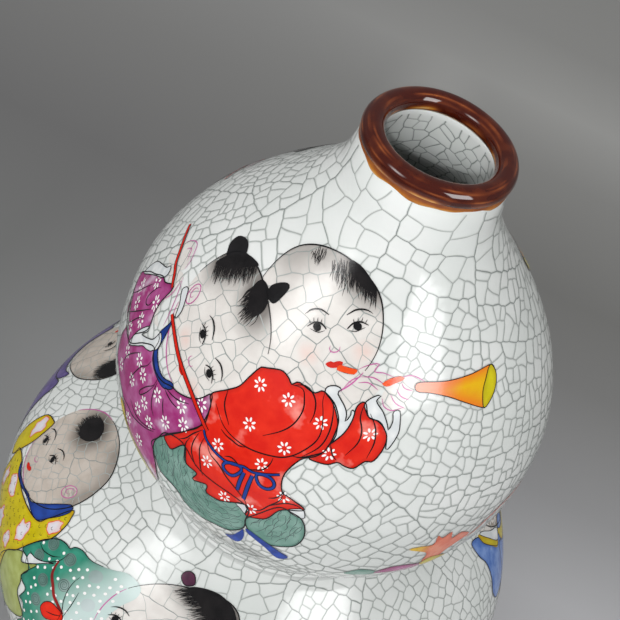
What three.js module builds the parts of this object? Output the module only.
import * as THREE from 'three';

// Double-gourd vase of crackle-glazed stoneware.
// Millimetres, +Z up, origin on the floor under the middle of the foot.
// The body is thrown in sections that are luted together, then glazed:
// grey-white crackle glaze outside, inside and under the foot, brown glaze on the lip.

// Outline of the glazed body: the radius and height of each upright point
const footRadius = 62;
const footHeight = 9;
const bellyRadius = 109.5;
const bellyHeight = 88.5;
const waistRadius = 54.7;
const waistHeight = 155.5;
const bulbRadius = 72;
const bulbHeight = 207;
const neckRadius = 20.4;
const mouthHeight = 306.5;

// Fullness: how far each curve holds its direction before it turns
const footSpread = 24.5;
const footRise = 11;
const bellyFullnessBelow = 43;
const bellyFullnessAbove = 51;
const waistFullnessBelow = 13;
const waistFullnessAbove = 18.5;
const bulbFullnessBelow = 24;
const bulbFullnessAbove = 48.5;
const neckFullness = 30;

// The neck is luted on this far below the mouth
const neckLength = 29.6;

// Clay walls
const footWall = 6;
const neckWall = 3.2;
const footRingWidth = 8;
const footRingTaper = 1.5;
const lipRoll = 6.2;

// Glaze coats, and the fine gaps between touching pieces
const glazeCoat = 0.5;
const glazeGap = 0.2;
const seam = 0.3;

// Facets, and how often a search along a curve is halved
const sides = 36;
const facetsPerCurve = 7;
const rollFacets = 14;
const halvings = 40;

const clay = new THREE.MeshStandardMaterial({ color: '#c9b79b', roughness: 0.85, metalness: 0 });
const crackleGlaze = new THREE.MeshStandardMaterial({ color: '#dde2df', roughness: 0.12, metalness: 0 });
const brownGlaze = new THREE.MeshStandardMaterial({ color: '#5f2410', roughness: 0.1, metalness: 0 });

// How deep each layer lies under the finished surface
const clayDepth = glazeCoat + glazeGap;
const clayRollRadius = lipRoll / 2 - clayDepth;
const rollHeight = mouthHeight - lipRoll / 2;
const rollSeat = Math.sqrt(clayRollRadius ** 2 - (neckWall / 2) ** 2);
const neckTop = rollHeight - rollSeat - seam;
const rollRadius = neckRadius - clayDepth - neckWall / 2;

const at = (radius, height) => new THREE.Vector2(radius, height);

// The outline runs from the foot to the top of the neck in four curves, upright where they meet
const outline = [
  new THREE.CubicBezierCurve(
    at(footRadius, footHeight),
    at(footRadius + footSpread, footHeight + footRise),
    at(bellyRadius, bellyHeight - bellyFullnessBelow),
    at(bellyRadius, bellyHeight),
  ),
  new THREE.CubicBezierCurve(
    at(bellyRadius, bellyHeight),
    at(bellyRadius, bellyHeight + bellyFullnessAbove),
    at(waistRadius, waistHeight - waistFullnessBelow),
    at(waistRadius, waistHeight),
  ),
  new THREE.CubicBezierCurve(
    at(waistRadius, waistHeight),
    at(waistRadius, waistHeight + waistFullnessAbove),
    at(bulbRadius, bulbHeight - bulbFullnessBelow),
    at(bulbRadius, bulbHeight),
  ),
  new THREE.CubicBezierCurve(
    at(bulbRadius, bulbHeight),
    at(bulbRadius, bulbHeight + bulbFullnessAbove),
    at(neckRadius, neckTop - neckFullness),
    at(neckRadius, neckTop),
  ),
];

// Places on the outline are counted in curves: 0 at the foot, 1 at the belly, 2 at the waist,
// 3 at the upper bulb and 4 at the neck's rim
const foot = 0;
const belly = 1;
const waist = 2;
const bulb = 3;
const rim = outline.length;
const neckRoot = placeAtHeight(bulb, mouthHeight - neckLength);

// The place on one curve of the outline that lies at a height, found by halving
function placeAtHeight(index, height) {
  let low = 0;
  let high = 1;
  for (let i = 0; i < halvings; i += 1) {
    const middle = (low + high) / 2;
    if (outline[index].getPoint(middle).y < height) low = middle;
    else high = middle;
  }
  return index + low;
}

// A point of the wall: its place on the outline, its depth under the finished surface,
// and how far it is shifted along the wall
function wallPoint(place, depth, shift = 0) {
  const index = Math.min(Math.floor(place), rim - 1);
  const point = outline[index].getPoint(place - index);
  const tangent = outline[index].getTangent(place - index);
  return at(
    point.x - tangent.y * depth + tangent.x * shift,
    point.y + tangent.x * depth + tangent.y * shift,
  );
}

// The clay thins evenly from the foot to the neck
function clayWall(place) {
  return THREE.MathUtils.lerp(footWall, neckWall, place / rim);
}

// Evenly spaced places from one end to the other
function places(from, to) {
  const steps = Math.round((to - from) * facetsPerCurve);
  return Array.from({ length: steps + 1 }, (_, i) => from + ((to - from) * i) / steps);
}

// The sections of the wall, and every place of a coat that runs over all of them
const sections = [[foot, belly], [belly, waist], [waist, bulb], [bulb, neckRoot], [neckRoot, rim]];
const allPlaces = [foot, ...sections.flatMap(([from, to]) => places(from, to).slice(1))];

// Turns a closed profile, drawn anticlockwise from the axis outwards, about the Z axis
function turned(name, profile, material) {
  const onAxis = profile[0].x === 0;
  const points = onAxis ? profile : [...profile, profile[0]];
  const geometry = new THREE.LatheGeometry(points, sides);
  geometry.rotateX(Math.PI / 2);
  const mesh = new THREE.Mesh(geometry, material);
  mesh.name = name;
  return mesh;
}

// The clay's outer and inner faces between two places, with half a seam taken off each luted end
function clayFaces(from, to) {
  const list = places(from, to);
  const shifts = list.map((place) => {
    if (place === from && from > foot) return seam / 2;
    return place === to ? -seam / 2 : 0;
  });
  return {
    outside: list.map((place, i) => wallPoint(place, clayDepth, shifts[i])),
    inside: list.map((place, i) => wallPoint(place, clayDepth + clayWall(place), shifts[i])),
  };
}

// A thrown ring of the wall
function wallRing(name, from, to) {
  const { outside, inside } = clayFaces(from, to);
  return turned(name, [...outside, ...inside.reverse()], clay);
}

// The lowest section is closed by the floor
function lowerBulbBase() {
  const { outside, inside } = clayFaces(foot, belly);
  return turned('lower_bulb_base', [
    at(0, footHeight),
    at(outside[0].x, footHeight),
    ...outside,
    ...inside.reverse(),
    at(0, inside.at(-1).y),
  ], clay);
}

// The foot ring is turned with a slight taper and left bare of glaze
function footRing() {
  const top = footHeight - seam;
  const outer = wallPoint(0, clayDepth).x;
  return turned('foot_ring', [
    at(outer - footRingWidth + footRingTaper, 0),
    at(outer - footRingTaper, 0),
    at(outer, top),
    at(outer - footRingWidth, top),
  ], clay);
}

// Points of the roll at one radius, from one angle to another, anticlockwise from straight out
function rollArc(radius, from, to) {
  const steps = Math.round((rollFacets * (to - from)) / (2 * Math.PI));
  return Array.from({ length: steps + 1 }, (_, i) => {
    const angle = from + ((to - from) * i) / steps;
    return at(rollRadius + radius * Math.cos(angle), rollHeight + radius * Math.sin(angle));
  });
}

// The lip is a thrown roll with a flat underside that seats on the neck's rim
function mouthLip() {
  const seatAngle = Math.asin(rollSeat / clayRollRadius);
  return turned('mouth_lip', rollArc(clayRollRadius, -seatAngle, Math.PI + seatAngle), clay);
}

// Brown glaze wraps the roll down to the crackle glaze on both sides of the neck
function lipGlaze() {
  const outer = lipRoll / 2;
  const inner = outer - glazeCoat;
  const lowest = Math.asin((rollSeat - seam) / outer);
  return turned('lip_glaze', [
    ...rollArc(outer, -lowest, Math.PI + lowest),
    ...rollArc(inner, -lowest, Math.PI + lowest).reverse(),
  ], brownGlaze);
}

// The outer glaze stops short of the foot ring and meets the brown glaze under the lip
function outerGlaze() {
  const outside = allPlaces.map((place) => wallPoint(place, 0));
  const inside = allPlaces.map((place) => wallPoint(place, glazeCoat));
  return turned('outer_glaze', [...outside, ...inside.reverse()], crackleGlaze);
}

// The inner glaze lines the floor, both chambers and the neck
function innerGlaze() {
  const innerDepth = (place) => clayDepth + clayWall(place) + glazeGap;
  const under = allPlaces.map((place) => wallPoint(place, innerDepth(place)));
  const over = allPlaces.map((place) => wallPoint(place, innerDepth(place) + glazeCoat));
  return turned('inner_glaze', [
    at(0, under[0].y),
    ...under,
    ...over.reverse(),
    at(0, over.at(-1).y),
  ], crackleGlaze);
}

// The recess inside the foot ring is glazed too
function footGlaze() {
  const radius = wallPoint(0, clayDepth).x - footRingWidth - seam;
  const top = footHeight - glazeGap;
  return turned('foot_glaze', [
    at(0, top - glazeCoat),
    at(radius, top - glazeCoat),
    at(radius, top),
    at(0, top),
  ], crackleGlaze);
}

const vase = new THREE.Group();
vase.add(
  footRing(),
  lowerBulbBase(),
  wallRing('lower_bulb_shoulder', belly, waist),
  wallRing('upper_bulb_lower', waist, bulb),
  wallRing('upper_bulb_shoulder', bulb, neckRoot),
  wallRing('neck', neckRoot, rim),
  mouthLip(),
  outerGlaze(),
  innerGlaze(),
  lipGlaze(),
  footGlaze(),
);

export default vase;
